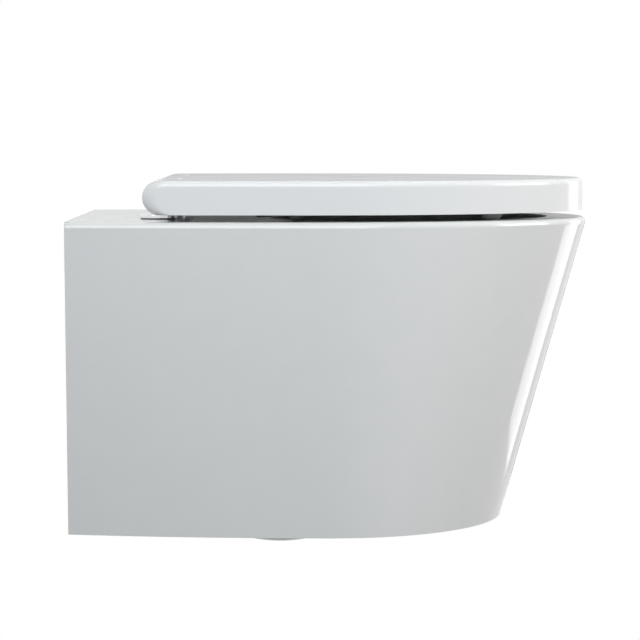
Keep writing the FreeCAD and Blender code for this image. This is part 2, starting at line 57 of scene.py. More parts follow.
# directions: across the pan, into the wall, and up
ACROSS = (1, 0, 0)
WALLWARD = (0, 1, 0)
UP = (0, 0, 1)

# pan: half widths, and reaches out from the wall
RIM_HALF = 0.180
RIM_BACK_HALF = 0.1725
RIM_WIDEST = 0.250
RIM_LENGTH = 0.540
FOOT_HALF = 0.1785
FOOT_BACK_HALF = 0.1555
FOOT_WIDEST = 0.270
FOOT_LENGTH = 0.4495
SKIRT_MIDDLE_Z = -0.08
PAN_WALL = 0.012
RIM_EDGE_WIDTH = 0.0094
LIP_EDGE = 0.005

# bowl, its ways in and out, and the pan's holes
MOUTH_HALF = 0.138
MOUTH_CENTRE = 0.320
MOUTH_FRONT = 0.1745
MOUTH_BACK = 0.133
MOUTH_MARGIN = 1.02
SUMP_RADIUS = 0.034
SUMP_CENTRE = 0.302
BOWL_DEPTH = 0.262
BOWL_FULLNESS = 2.5
BOWL_LEVELS = 14
BOWL_ANGLES = (-50, 0, 90, 180, 230)
OUTLET_Z = -0.100
OUTLET_OPENING_RADIUS = 0.067
INLET_Z = 0.035
INLET_RADIUS = 0.0365
FLUSH_WAY_RADIUS = 0.019
FLUSH_WAY_LENGTH = 0.120
FLUSH_WAY_Y = -0.160
TRAP_WAY_RADIUS = 0.032
TRAP_WAY_LENGTH = 0.060
TRAP_WAY_MIDDLE = (0, -0.287, -0.180)
TRAP_WAY_ALONG = (0, 0.5, -0.866)
BOLT_X = 0.090
BOLT_HOLE_RADIUS = 0.00955
DECK_HOLE_RADIUS = 0.008
DECK_HOLE_Z = 0.073
BACK_HOLE_Y = -0.005
HOLE_LENGTH = 0.030

# cover and ring
SEAT_WIDEST = 0.250
SEAT_LOW = 0.087
SEAT_EDGE = 0.006
SEAT_EDGE_STEPS = 7
COVER_TOP = 0.121
COVER_HALF = 0.176
COVER_BACK_HALF = 0.1685
COVER_LENGTH = 0.535
COVER_CORNER = 0.016
COVER_NOSE = 0.017
COVER_WALL = 0.0045
COVER_BACK_ANGLES = (-90, -75, -60, -45, -30, -15, 0, 10, 20, 30)
RING_TOP = 0.102
RING_HALF = 0.1675
RING_BACK_HALF = 0.160
RING_LENGTH = 0.5265
RING_BACK = 0.115
RING_CORNER = 0.030
RING_FOOT_EDGE = 0.002
RING_FOOT_EDGE_STEPS = 3
RING_HOLE_HALF = 0.108
RING_HOLE_CENTRE = 0.330
RING_HOLE_FRONT = 0.130
RING_HOLE_BACK = 0.112
RING_HOLE_ANGLES = (-65, -35, 0, 90, 180, 215, 245)

# hinges
HINGE_X = 0.0775
POST_Y = -0.088
LUG_RADIUS = 0.0105
LUG_LENGTH = 0.014
RING_LUG_X = 0.0475
RING_LUG_EDGE = 0.0008
RING_NECK_FRONT = -0.127
RING_NECK_LOW = 0.0935
RING_NECK_TOP = 0.1005
COVER_LUG_X = 0.1075
COVER_LUG_EDGE = 0.0006
COVER_WEB_FRONT = -0.1045
COVER_WEB_BACK = -0.08875
COVER_WEB_TOP = 0.1174
NOTCH_NEAR = 0.0545
NOTCH_FAR = 0.1005
NOTCH_FRONT = -0.113
NECK_SLOT_NEAR = 0.0395
NECK_SLOT_FRONT = -0.095
NECK_SLOT_TOP = 0.1005

# how far the cutters of notches and slots reach, past the pieces that they cut
BEHIND_SEAT = -0.070
UNDER_SEAT = 0.080
OVER_SEAT = 0.130

# housings, each a little longer than the solid barrel that it stands for
HOUSING_HALF = 0.0225
HOUSING_PAST_BARREL = 0.0005
HOUSING_FRONT = -0.1125
HOUSING_FRONT_LOW = 0.0950
SWEEP_RADIUS = 0.0217
BARREL_RADIUS = 0.0150
HOUSING_END_EDGE = 0.0004
HOUSING_NECK_HALF = 0.014
HOUSING_NECK_FRONT = -0.1010
HOUSING_NECK_BACK = -0.0820
HOUSING_NECK_TOP = 0.0960
BASE_TOP = 0.0850
CARTRIDGE_RADIUS = 0.00905
CARTRIDGE_LENGTH = 0.016
CARTRIDGE_BORE_LENGTH = 0.0185
PIN_BORE_RADIUS = 0.00405
PIN_HOLD = 0.014
PIN_BORE_LENGTH = 0.0165
POST_BORE_RADIUS = 0.00405
POST_BORE_LENGTH = 0.0260
POST_BORE_Z = 0.0970
COLLAR_RADIUS = 0.0073
COLLAR_DEPTH = 0.0033
COLLAR_Z = 0.08565
LATCH_SLOT_HALF = 0.0063
LATCH_SLOT_FRONT = -0.0989
LATCH_SLOT_LOW = 0.0887
LATCH_SLOT_TOP = 0.0923

# studio: the floor, the sky, the cards on the far side, and the camera
FLOOR_SIZE = 40
FLOOR_Z = -2.6
FLOOR_GREY = 0.27
FLOOR_GLOW = 0.76
FLOOR_TURNS_WHITE = 1.5
FLOOR_IS_WHITE = 4.0
SKY_COLOUR = (0.94, 0.98, 1.0)
SKY_AT_HORIZON = 0.56
SKY_OVERHEAD = 0.16
CARD_FACE = 1.50
CARD_BACK = 1.51
CARD_FRONT_Y = -0.85
CARD_SPLIT_Y = 0.01
CARD_REAR_Y = 0.80
CARD_LOW = -0.50
CARD_SPLIT_Z = 0.125
CARD_TOP = 1.20
CAMERA_PLACE = (-2.6017, -0.2557, 0.184)
CAMERA_DIP = 0.0829
CAMERA_LENS = 136.93


# ---------------------------------------------------------------- working by hand, in code
def clear_selection():
    if bpy.context.mode != "OBJECT":
        bpy.ops.object.mode_set(mode="OBJECT")
    bpy.ops.object.select_all(action="DESELECT")


def take(obj):
    """Makes one object the only selected one."""
    clear_selection()
    obj.select_set(True)
    bpy.context.view_layer.objects.active = obj
    return obj


def joined(pieces, name):
    """Joins pieces into one mesh. Seams between them stay as they are."""
    clear_selection()
    for piece in pieces:
        piece.select_set(True)
    bpy.context.view_layer.objects.active = pieces[0]
    if len(pieces) > 1:
        bpy.ops.object.join()
    obj = bpy.context.object
    obj.name = name
    obj.data.name = name
    return obj


def applied(obj, kind, **settings):
    """Adds a modifier and applies it."""
    take(obj)
    modifier = obj.modifiers.new(kind.title(), kind)
    for key, value in settings.items():
        setattr(modifier, key, value)
    bpy.ops.object.modifier_apply(modifier=modifier.name)
    return obj


def welded(obj):
    """Merges points that touch and makes all faces look out of the same side."""
    take(obj)
    bpy.ops.object.mode_set(mode="EDIT")
    bpy.ops.mesh.select_all(action="SELECT")
    bpy.ops.mesh.remove_doubles(threshold=TOUCH)
    bpy.ops.mesh.normals_make_consistent(inside=False)
    bpy.ops.object.mode_set(mode="OBJECT")
    return obj


def settled(obj):
    """Puts an object's place into its mesh, so that it stands at the origin."""
    take(obj)
    bpy.ops.object.transform_apply(location=True, rotation=True, scale=True)
    return obj


def smoothed(obj):
    """Shades an object smoothly, apart from edges that turn by more than 32 degrees."""
    take(obj)
    bpy.ops.object.shade_smooth_by_angle(angle=math.radians(32))
    return applied(obj, "WEIGHTED_NORMAL", keep_sharp=True, weight=80)


def rounded(obj, chosen, width, segments, measure="OFFSET"):
    """Bevels the edges whose two ends pass a test of place."""
    take(obj)
    bpy.ops.object.mode_set(mode="EDIT")
    bpy.ops.mesh.select_mode(type="EDGE")
    bpy.ops.mesh.select_all(action="DESELECT")
    bpy.ops.object.mode_set(mode="OBJECT")
    verts = obj.data.vertices
    for edge in obj.data.edges:
        first, second = (verts[index].co for index in edge.vertices)
        edge.select = chosen(first, second)
    bpy.ops.object.mode_set(mode="EDIT")
    bpy.ops.mesh.bevel(offset=width, offset_type=measure, segments=segments, profile=0.5,
                       affect="EDGES")
    bpy.ops.object.mode_set(mode="OBJECT")
    return obj


def combined(obj, others, operation):
    """Works other shapes into an object one after another, and removes them."""
    for other in others:
        applied(obj, "BOOLEAN", operation=operation, solver="EXACT", object=other)
        bpy.data.objects.remove(other, do_unlink=True)
    return obj


def cut(obj, cutters):
    return combined(obj, cutters, "DIFFERENCE")


def rod(radius, length, middle, along, steps=64):
    """A plain cylinder about its middle, pointing along a direction."""
    turn = Vector(along).to_track_quat("Z", "Y").to_euler()
    clear_selection()
    bpy.ops.mesh.primitive_cylinder_add(vertices=steps, radius=radius, depth=length,
                                        location=middle, rotation=turn)
    return settled(bpy.context.object)


def block(low, high):
    middle = [(a + b) / 2 for a, b in zip(low, high)]
    clear_selection()
    bpy.ops.mesh.primitive_cube_add(size=1, location=middle)
    obj = bpy.context.object
    obj.scale = [b - a for a, b in zip(low, high)]
    return settled(obj)


# ---------------------------------------------------------------- outlines drawn as curves
def loop_of(anchors, z):
    """A closed curve through anchors, each given as (point, handle before, handle after)."""
    clear_selection()
    bpy.ops.curve.primitive_bezier_circle_add()
    obj = bpy.context.object
    spline = obj.data.splines[0]
    spline.bezier_points.add(len(anchors) - len(spline.bezier_points))
    for point, (place, before, after) in zip(spline.bezier_points, anchors):
        point.handle_left_type = point.handle_right_type = "FREE"
        point.co = (*place, z)
        point.handle_left = (*before, z)
        point.handle_right = (*after, z)
    obj.data.dimensions = "3D"
    obj.data.resolution_u = CURVE_STEPS
    take(obj)
    bpy.ops.object.convert(target="MESH")
    return bpy.context.object


def towards(start, end, share):
    return tuple(a + (b - a) * share for a, b in zip(start, end))


def d_loop(z, half, back_half, widest, length, back, corner=0.0):
    """The D seen from above: straight back, slightly bowed sides, half-elliptic front."""
    def half_at(out):
        return half - (half - back_half) * ((widest - out) / widest) ** 2

    def mirrored(point):
        return (-point[0], point[1])

    rear_x = half_at(back) - corner
    side_out = back + corner
    bow = (half, -(side_out + widest) / 2)
    nose = length - widest
    rear = (rear_x, -back)
    wide = (half, -widest)
    before_rear = towards(rear, mirrored(rear), 1 / 3)
    if corner:
        turn = KAPPA * corner
        slope = 2 * (half - back_half) * (widest - side_out) / widest ** 2
        side = (half_at(side_out), -side_out)
        right = [
            (rear, before_rear, (rear_x + turn, -back)),
            (side, (side[0] - slope * turn, -side_out + turn), towards(side, bow, 2 / 3)),
        ]
    else:
        right = [(rear, before_rear, towards(rear, bow, 2 / 3))]
    right.append((wide, towards(wide, bow, 2 / 3), (half, -(widest + KAPPA * nose))))
    tip = ((0, -length), (KAPPA * half, -length), (-KAPPA * half, -length))
    left = [tuple(mirrored(point) for point in (place, after, before))
            for place, before, after in reversed(right)]
    return loop_of(right + [tip] + left, z)


def egg_loop(z, half, centre, front, back, angles):
    """An egg seen from above, with one anchor for each anchor of the D it is bridged to."""
    turns = [math.radians(angle) for angle in angles]
    anchors = []
    for index, angle in enumerate(turns):
        before = angle - turns[index - 1] if index else angle - turns[-1] + 2 * math.pi
        last = index + 1 == len(turns)
        after = turns[0] + 2 * math.pi - angle if last else turns[index + 1] - angle
        reach = front if angle_is_front(angle) else back
        place = (half * math.cos(angle), -(centre + reach * math.sin(angle)))
        anchors.append((place, egg_handle(place, angle, -before, half, front, back),
                        egg_handle(place, angle, after, half, front, back)))
    return loop_of(anchors, z)


def angle_is_front(angle):
    return math.sin(angle) > 0


def egg_handle(place, angle, step, half, front, back):
    """The handle on one side of an egg's anchor, for an arc that turns by a step."""
    reach = front if angle_is_front(angle + step / 2) else back
    pull = 4 / 3 * math.tan(step / 4)
    return (place[0] - half * math.sin(angle) * pull, place[1] - reach * math.cos(angle) * pull)


def sheet(loops, name, closed=False):
    """Bridges outlines one after another into one sheet."""
    follow = loops[1:] + loops[:1]
    bands = []
    for first, second in zip(loops, follow if closed else loops[1:]):
        clear_selection()
        first.select_set(True)
        second.select_set(True)
        bpy.context.view_layer.objects.active = first
        bpy.ops.object.duplicate()
        band = joined(list(bpy.context.selected_objects), name)
        bpy.ops.object.mode_set(mode="EDIT")
        bpy.ops.mesh.select_all(action="SELECT")
        bpy.ops.mesh.bridge_edge_loops()
        bpy.ops.object.mode_set(mode="OBJECT")
        bands.append(band)
    for outline in loops:
        bpy.data.objects.remove(outline, do_unlink=True)
    return welded(joined(bands, name))


def lidded(obj, z):
    """Closes an open edge at a height with one face."""
    take(obj)
    bpy.ops.object.mode_set(mode="EDIT")
    bpy.ops.mesh.select_mode(type="VERT")
    bpy.ops.mesh.select_all(action="DESELECT")
    bpy.ops.object.mode_set(mode="OBJECT")
    for vertex in obj.data.vertices:
        vertex.select = abs(vertex.co.z - z) < SAME
    bpy.ops.object.mode_set(mode="EDIT")
    bpy.ops.mesh.edge_face_add()
    bpy.ops.mesh.select_all(action="SELECT")
    bpy.ops.mesh.normals_make_consistent(inside=False)
    bpy.ops.object.mode_set(mode="OBJECT")
    return obj


def facing_out(obj, probe):
    """Turns a sheet over if the face nearest a probe point looks away from that point."""
    nearest = min(obj.data.polygons, key=lambda face: (face.center - Vector(probe)).length)
    if nearest.normal.dot(Vector(probe) - nearest.center) < 0:
        take(obj)
        bpy.ops.object.mode_set(mode="EDIT")
        bpy.ops.mesh.select_all(action="SELECT")
        bpy.ops.mesh.flip_normals()
        bpy.ops.object.mode_set(mode="OBJECT")
    return obj


# ---------------------------------------------------------------- pan
def pan_outline(z, inset=0.0):
    """The pan's D at a height: it grows from the foot to the rim in straight lines."""
    share = (z - FOOT_Z) / (RIM_Z - FOOT_Z)

    def between(foot, rim):
        return foot + (rim - foot) * share

    return d_loop(z, between(FOOT_HALF, RIM_HALF) - inset,
                  between(FOOT_BACK_HALF, RIM_BACK_HALF) - inset,
                  between(FOOT_WIDEST, RIM_WIDEST), between(FOOT_LENGTH, RIM_LENGTH) - inset, inset)


def bowl_outline(depth):
    """The bowl's egg at a share of its depth, with walls that draw in ever faster."""
    open_share = 1 - depth ** BOWL_FULLNESS

    def between(sump, mouth):
        return sump + (mouth - sump) * open_share

    return egg_loop(RIM_Z - depth * BOWL_DEPTH, between(SUMP_RADIUS, MOUTH_HALF),
                    between(SUMP_CENTRE, MOUTH_CENTRE), between(SUMP_RADIUS, MOUTH_FRONT),
                    between(SUMP_RADIUS, MOUTH_BACK), BOWL_ANGLES)


def make_pan():
    outlines = [pan_outline(FOOT_Z), pan_outline(SKIRT_MIDDLE_Z), pan_outline(RIM_Z)]
    outlines += [bowl_outline(level / BOWL_LEVELS) for level in range(BOWL_LEVELS + 1)]
    pan = sheet(outlines, "pan_glaze")
    lidded(pan, RIM_Z - BOWL_DEPTH)
    facing_out(pan, probe=(0, -0.530, 0.12))
    applied(pan, "SOLIDIFY", thickness=PAN_WALL, offset=-1, use_even_offset=True,
            use_quality_normals=True)

    def at_rim(first, second):
        return min(first.z, second.z) > RIM_Z - TOUCH

    def by_mouth(point):
        """Whether a point lies on the mouth's edge or within it, with a small margin."""
        reach = MOUTH_FRONT if point.y < -MOUTH_CENTRE else MOUTH_BACK
        return math.hypot(point.x / MOUTH_HALF, (point.y + MOUTH_CENTRE) / reach) < MOUTH_MARGIN

    def lip_edge(first, second):
        return at_rim(first, second) and by_mouth(first) and by_mouth(second)

    def rim_edge(first, second):
        free = min(first.y, second.y) < -TOUCH
        return at_rim(first, second) and free and not by_mouth(first) and not by_mouth(second)

    rounded(pan, rim_edge, RIM_EDGE_WIDTH, 6, "WIDTH")
    rounded(pan, lip_edge, LIP_EDGE, 5)
    cutters = [
        rod(OUTLET_OPENING_RADIUS, HOLE_LENGTH, (0, BACK_HOLE_Y, OUTLET_Z), WALLWARD, 96),
        rod(INLET_RADIUS, HOLE_LENGTH, (0, BACK_HOLE_Y, INLET_Z), WALLWARD),
        rod(FLUSH_WAY_RADIUS, FLUSH_WAY_LENGTH, (0, FLUSH_WAY_Y, INLET_Z), WALLWARD, 48),
        rod(TRAP_WAY_RADIUS, TRAP_WAY_LENGTH, TRAP_WAY_MIDDLE, TRAP_WAY_ALONG, 48),
    ]
    for side in (-1, 1):
        bolt = (side * BOLT_X, BACK_HOLE_Y, 0)
        post = (side * HINGE_X, POST_Y, DECK_HOLE_Z)
        cutters.append(rod(BOLT_HOLE_RADIUS, HOLE_LENGTH, bolt, WALLWARD, 32))
        cutters.append(rod(DECK_HOLE_RADIUS, HOLE_LENGTH, post, UP, 32))
    cut(pan, cutters)
    return smoothed(pan)


# ---------------------------------------------------------------- cover and seat ring
def quarter_rings(radius, steps):
    """How far a rounded edge draws in at each of its steps, and how far it has risen."""
    angles = [math.pi / 2 * step / steps for step in range(steps + 1)]
    return [(radius * (1 - math.cos(angle)), radius * math.sin(angle)) for angle in angles]


def cover_outline(z, inset=0.0):
    """The cover's D at a height. Its back follows the half-round nose about the hinge axis."""
    reach = math.sqrt(max(COVER_NOSE ** 2 - (z - AXIS_Z) ** 2, 0))
    return d_loop(z, COVER_HALF - inset, COVER_BACK_HALF - inset, SEAT_WIDEST, COVER_LENGTH - inset,
                  -AXIS_Y - reach, COVER_CORNER - inset / 2)


def make_cover():
    outlines = [cover_outline(AXIS_Z + COVER_NOSE * math.sin(math.radians(angle)))
                for angle in COVER_BACK_ANGLES]
    outlines += [cover_outline(COVER_TOP - SEAT_EDGE + rise, draw)
                 for draw, rise in quarter_rings(SEAT_EDGE, SEAT_EDGE_STEPS)]
    cover = sheet(outlines, "cover_shell")
    lidded(cover, COVER_TOP)
    facing_out(cover, probe=(0, -0.300, 0.3))
    applied(cover, "SOLIDIFY", thickness=COVER_WALL, offset=-1, use_even_offset=True,
            use_quality_normals=True)
    cutters = []
    for side in (-1, 1):
        near, far = sorted((side * NOTCH_NEAR, side * NOTCH_FAR))
        cutters.append(block((near, NOTCH_FRONT, UNDER_SEAT), (far, BEHIND_SEAT, OVER_SEAT)))
        near, far = sorted((side * NECK_SLOT_NEAR, side * HINGE_X))
        cutters.append(block((near, NECK_SLOT_FRONT, UNDER_SEAT), (far, BEHIND_SEAT, NECK_SLOT_TOP)))
    cut(cover, cutters)
    lugs = []
    for side in (-1, 1):
        lug = rod(LUG_RADIUS, LUG_LENGTH, (side * COVER_LUG_X, AXIS_Y, AXIS_Z), ACROSS)
        applied(lug, "BEVEL", width=COVER_LUG_EDGE, segments=2, limit_method="ANGLE")
        near, far = sorted((side * NOTCH_FAR, side * (NOTCH_FAR + LUG_LENGTH)))
        lugs += [lug, block((near, COVER_WEB_FRONT, AXIS_Z), (far, COVER_WEB_BACK, COVER_WEB_TOP))]
    cover = joined([cover] + lugs, "cover_shell")
    return smoothed(cover)


def ring_outline(z, inset=0.0):
    return d_loop(z, RING_HALF - inset, RING_BACK_HALF - inset, SEAT_WIDEST, RING_LENGTH - inset,
                  RING_BACK + inset, RING_CORNER - inset / 2)


def ring_hole(z, grow=0.0):
    return egg_loop(z, RING_HOLE_HALF + grow, RING_HOLE_CENTRE, RING_HOLE_FRONT + grow,
                    RING_HOLE_BACK + grow, RING_HOLE_ANGLES)


def make_ring():
    under = quarter_rings(RING_FOOT_EDGE, RING_FOOT_EDGE_STEPS)
    over = quarter_rings(SEAT_EDGE, SEAT_EDGE_STEPS)
    low = SEAT_LOW + RING_FOOT_EDGE
    high = RING_TOP - SEAT_EDGE
    outlines = [ring_outline(low - rise, draw) for draw, rise in reversed(under)]
    outlines += [ring_outline(high + rise, draw) for draw, rise in over]
    outlines += [ring_hole(high + rise, draw) for draw, rise in reversed(over)]
    outlines += [ring_hole(low - rise, draw) for draw, rise in under]
    ring = sheet(outlines, "ring_plate", closed=True)
    lugs = []
    for side in (-1, 1):
        lug = rod(LUG_RADIUS, LUG_LENGTH, (side * RING_LUG_X, AXIS_Y, AXIS_Z), ACROSS)
        near, far = sorted((side * (NOTCH_NEAR - LUG_LENGTH), side * NOTCH_NEAR))
        neck = block((near, RING_NECK_FRONT, RING_NECK_LOW), (far, AXIS_Y, RING_NECK_TOP))
        for piece in (lug, neck):
            applied(piece, "BEVEL", width=RING_LUG_EDGE, segments=2, limit_method="ANGLE")
        lugs += [lug, neck]
    ring = joined([ring] + lugs, "ring_plate")
    return smoothed(ring)


# ---------------------------------------------------------------- hinge housings
def arc_about_axis(radius, start, end, steps):
    """Points (y, z) on an arc about the hinge axis. Angles run from +Y upwards."""
    angles = [math.radians(start + (end - start) * step / steps) for step in range(steps + 1)]
    return [(AXIS_Y + radius * math.cos(angle), AXIS_Z + radius * math.sin(angle))
            for angle in angles]


def prism(points, left, right):
    """A solid with one outline (y, z) from one side to the other."""
    clear_selection()
    bpy.ops.mesh.primitive_circle_add(vertices=len(points), fill_type="NGON")
    obj = bpy.context.object
    for vertex, (y, z) in zip(obj.data.vertices, points):
        vertex.co = (left, y, z)
    bpy.ops.object.mode_set(mode="EDIT")
    bpy.ops.mesh.select_all(action="SELECT")
    bpy.ops.mesh.extrude_region_move(TRANSFORM_OT_translate={"value": (right - left, 0, 0)})
    bpy.ops.object.mode_set(mode="OBJECT")
    return welded(obj)


def make_housing(name, x):
    """A fixed housing that fills a notch of the cover, with its top flush with the cover's."""
    left, right = x - HOUSING_HALF, x + HOUSING_HALF
    outline = [(HOUSING_FRONT, HOUSING_FRONT_LOW)]
    outline += arc_about_axis(SWEEP_RADIUS, 148.5, 128.4, 5)
    outline += arc_about_axis(COVER_NOSE, 90, -20, 22)
    outline += arc_about_axis(BARREL_RADIUS, -40, -140, 20)
    housing = prism(outline, left, right)

    def end_edge(first, second):
        level = abs(first.x - second.x) < SAME
        at_end = min(abs(first.x - left), abs(first.x - right)) < TOUCH
        return level and at_end

    rounded(housing, end_edge, HOUSING_END_EDGE, 2)
    neck = block((x - HOUSING_NECK_HALF, HOUSING_NECK_FRONT, BASE_TOP),
                 (x + HOUSING_NECK_HALF, HOUSING_NECK_BACK, HOUSING_NECK_TOP))
    combined(housing, [neck], "UNION")
    cartridge_end = left + HOUSING_PAST_BARREL + CARTRIDGE_LENGTH
    cartridge = (cartridge_end - CARTRIDGE_BORE_LENGTH / 2, AXIS_Y, AXIS_Z)
    pin_start = right - HOUSING_PAST_BARREL - PIN_HOLD
    pin = (pin_start + PIN_BORE_LENGTH / 2, AXIS_Y, AXIS_Z)
    cut(housing, [
        rod(CARTRIDGE_RADIUS, CARTRIDGE_BORE_LENGTH, cartridge, ACROSS),
        rod(PIN_BORE_RADIUS, PIN_BORE_LENGTH, pin, ACROSS, 32),
        rod(POST_BORE_RADIUS, POST_BORE_LENGTH, (x, POST_Y, POST_BORE_Z), UP, 32),
        rod(COLLAR_RADIUS, COLLAR_DEPTH, (x, POST_Y, COLLAR_Z), UP, 48),
        block((x - LATCH_SLOT_HALF, LATCH_SLOT_FRONT, LATCH_SLOT_LOW),
              (x + LATCH_SLOT_HALF, BEHIND_SEAT, LATCH_SLOT_TOP)),
    ])
    housing.name = name
    housing.data.name = name
    return smoothed(housing)


# ---------------------------------------------------------------- finishes
def finish_named(name, colour, roughness, **sockets):
    """A material whose shader has its own constants, ready for patterns."""
    material = bpy.data.materials.new(name)
    material.use_nodes = True
    shader = material.node_tree.nodes["Principled BSDF"]
    shader.inputs["Base Color"].default_value = (*colour, 1)
    shader.inputs["Roughness"].default_value = roughness
    for socket, value in sockets.items():
        shader.inputs[socket.replace("_", " ")].default_value = value
    return material


def noise(material, scale, detail):
    """A noise in the piece's own space."""
    tree = material.node_tree
    place = tree.nodes.new("ShaderNodeTexCoord")
    pattern = tree.nodes.new("ShaderNodeTexNoise")
    pattern.inputs["Scale"].default_value = scale
    pattern.inputs["Detail"].default_value = detail
    tree.links.new(place.outputs["Object"], pattern.inputs["Vector"])
    return pattern


def vary(material, pattern, socket, low, high):
    """Runs a shader's number between two values as a pattern changes."""
    tree = material.node_tree
    spread = tree.nodes.new("ShaderNodeMapRange")
    for name, value in (("From Min", 0.3), ("From Max", 0.7), ("To Min", low), ("To Max", high)):
        spread.inputs[name].default_value = value
    tree.links.new(pattern.outputs["Fac"], spread.inputs["Value"])
    tree.links.new(spread.outputs["Result"],
                   tree.nodes["Principled BSDF"].inputs[socket])
    return spread


def tint(material, pattern, first, second):
    """Lets a pattern move the colour between two close tones."""
    tree = material.node_tree
    ramp = tree.nodes.new("ShaderNodeValToRGB")
    ramp.color_ramp.elements[0].position = 0.3
    ramp.color_ramp.elements[1].position = 0.7
    ramp.color_ramp.elements[0].color = (*first, 1)
    ramp.color_ramp.elements[1].color = (*second, 1)
    tree.links.new(pattern.outputs["Fac"], ramp.inputs["Fac"])
    tree.links.new(ramp.outputs["Color"], tree.nodes["Principled BSDF"].inputs["Base Color"])
    return ramp


def relief(material, patterns):
    """Stacks patterns as bumps, each with its depth in metres."""
    tree = material.node_tree
    before = None
    for pattern, depth in patterns:
        bump = tree.nodes.new("ShaderNodeBump")
        bump.inputs["Strength"].default_value = 1.0
        bump.inputs["Distance"].default_value = depth
        tree.links.new(pattern.outputs["Fac"], bump.inputs["Height"])
        if before:
            tree.links.new(before.outputs["Normal"], bump.inputs["Normal"])
        before = bump
    tree.links.new(before.outputs["Normal"], tree.nodes["Principled BSDF"].inputs["Normal"])


def blended(material, share, kind, first, second, socket):
    """Leads a blend of two results into a shader's socket."""
    tree = material.node_tree
    mix = tree.nodes.new("ShaderNodeMix")
    mix.data_type = kind
    ends = [end for end in mix.inputs if end.enabled]
    tree.links.new(share.outputs[0], ends[0])
    tree.links.new(first, ends[1])
    tree.links.new(second, ends[2])
    result = next(end for end in mix.outputs if end.enabled)
    tree.links.new(result, tree.nodes["Principled BSDF"].inputs[socket])


def glaze():
    """Fired white glaze with slight waves and thin pools. The wall face is left as bare clay."""
    material = finish_named("fired_white_glaze", (0.76, 0.76, 0.76), 0.09,
                            IOR=1.52, Coat_Weight=0.15, Coat_Roughness=0.03)
    waves = noise(material, 9, 2)
    pools = noise(material, 38, 4)
    gloss = vary(material, pools, "Roughness", 0.07, 0.13)
    coat = tint(material, pools, (0.752, 0.757, 0.762), (0.766, 0.768, 0.770))
    relief(material, [(waves, 0.0004), (pools, 0.00002)])
    bare = bare_share(material)
    grain = noise(material, 700, 3)
    biscuit = tint(material, grain, (0.73, 0.71, 0.67), (0.77, 0.75, 0.72))
    dry = vary(material, grain, "Roughness", 0.55, 0.75)
    blended(material, bare, "RGBA", coat.outputs["Color"], biscuit.outputs["Color"], "Base Color")
    blended(material, bare, "FLOAT", gloss.outputs["Result"], dry.outputs["Result"], "Roughness")
    return material


def bare_share(material):
    """One on the wall face, which stands unglazed, nought elsewhere."""
    tree = material.node_tree
    place = tree.nodes.new("ShaderNodeTexCoord")
    parts = tree.nodes.new("ShaderNodeSeparateXYZ")
    edge = tree.nodes.new("ShaderNodeMapRange")
    edge.inputs["From Min"].default_value = -0.0012
    edge.inputs["From Max"].default_value = -0.0006
    tree.links.new(place.outputs["Object"], parts.inputs[0])
    tree.links.new(parts.outputs["Y"], edge.inputs["Value"])
    return edge


def moulded(name, first, second, roughness, grain=0.000006):
    """Moulded plastic with a very fine skin."""
    material = finish_named(name, first, roughness)
    skin = noise(material, 900, 3)
    flow = noise(material, 14, 2)
    tint(material, flow, first, second)
    vary(material, flow, "Roughness", roughness * 0.85, roughness * 1.2)
    relief(material, [(skin, grain)])
    return material


def metal(name, colour, roughness, stretch):
    """Metal with fine lines from turning or drawing."""
    material = finish_named(name, colour, roughness, Metallic=1.0)
    tree = material.node_tree
    place = tree.nodes.new("ShaderNodeTexCoord")
    lines = tree.nodes.new("ShaderNodeMapping")
    lines.inputs["Scale"].default_value = stretch
    pattern = tree.nodes.new("ShaderNodeTexNoise")
    pattern.inputs["Scale"].default_value = 60
    pattern.inputs["Detail"].default_value = 3
    tree.links.new(place.outputs["Object"], lines.inputs["Vector"])
    tree.links.new(lines.outputs["Vector"], pattern.inputs["Vector"])
    vary(material, pattern, "Roughness", roughness * 0.7, roughness * 1.4)
    relief(material, [(pattern, 0.000004)])
    return material


def rubber():
    material = finish_named("grey_rubber", (0.30, 0.30, 0.30), 0.6)
    grain = noise(material, 1500, 4)
    cloud = noise(material, 60, 2)
    tint(material, cloud, (0.27, 0.27, 0.27), (0.33, 0.33, 0.33))
    vary(material, cloud, "Roughness", 0.5, 0.72)
    relief(material, [(grain, 0.00002)])
    return material


FINISHES = {
    "glazed_ceramic": glaze(),
    "cover_plastic": moulded("cover_plastic", (0.84, 0.845, 0.855), (0.85, 0.855, 0.865), 0.14),
    "hinge_plastic": moulded("hinge_plastic", (0.77, 0.775, 0.79), (0.79, 0.795, 0.81), 0.2),
    "latch_plastic": moulded("latch_plastic", (0.27, 0.275, 0.29), (0.30, 0.305, 0.32), 0.4, 0.00002),
    "damper_plastic": moulded("damper_plastic", (0.035, 0.035, 0.038), (0.05, 0.05, 0.053), 0.45,
                              0.00002),
    "sleeve_plastic": moulded("sleeve_plastic", (0.62, 0.62, 0.60), (0.66, 0.66, 0.64), 0.45,
                              0.00002),
    "grey_rubber": rubber(),
    "chrome": metal("polished_chrome", (0.80, 0.81, 0.82), 0.08, (1, 1, 1)),
    "steel": metal("drawn_steel", (0.58, 0.58, 0.59), 0.3, (1, 8, 8)),
}


def dressed(obj, slot):
    """Gives a piece the finish of a material slot."""
    obj.data.materials.clear()
    obj.data.materials.append(FINISHES[slot])
    return obj


slots = {part["node"]: part["material_slot"] for part in frame["record"]["subparts"]}
for node_name, node in nodes.items():
    for index in range(len(node.material_slots)):
        node.material_slots[index].material = FINISHES[slots[node_name]]

pan_glaze = dressed(make_pan(), "glazed_ceramic")
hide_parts("pan_rim", "pan_skirt", "pan_back", "pan_bowl")
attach(pan_glaze, "pan_body")

cover_shell = dressed(make_cover(), "cover_plastic")
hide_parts("lid")
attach(cover_shell, "cover_body")

ring_plate = dressed(make_ring(), "cover_plastic")
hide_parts("seat_ring")
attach(ring_plate, "ring_body")

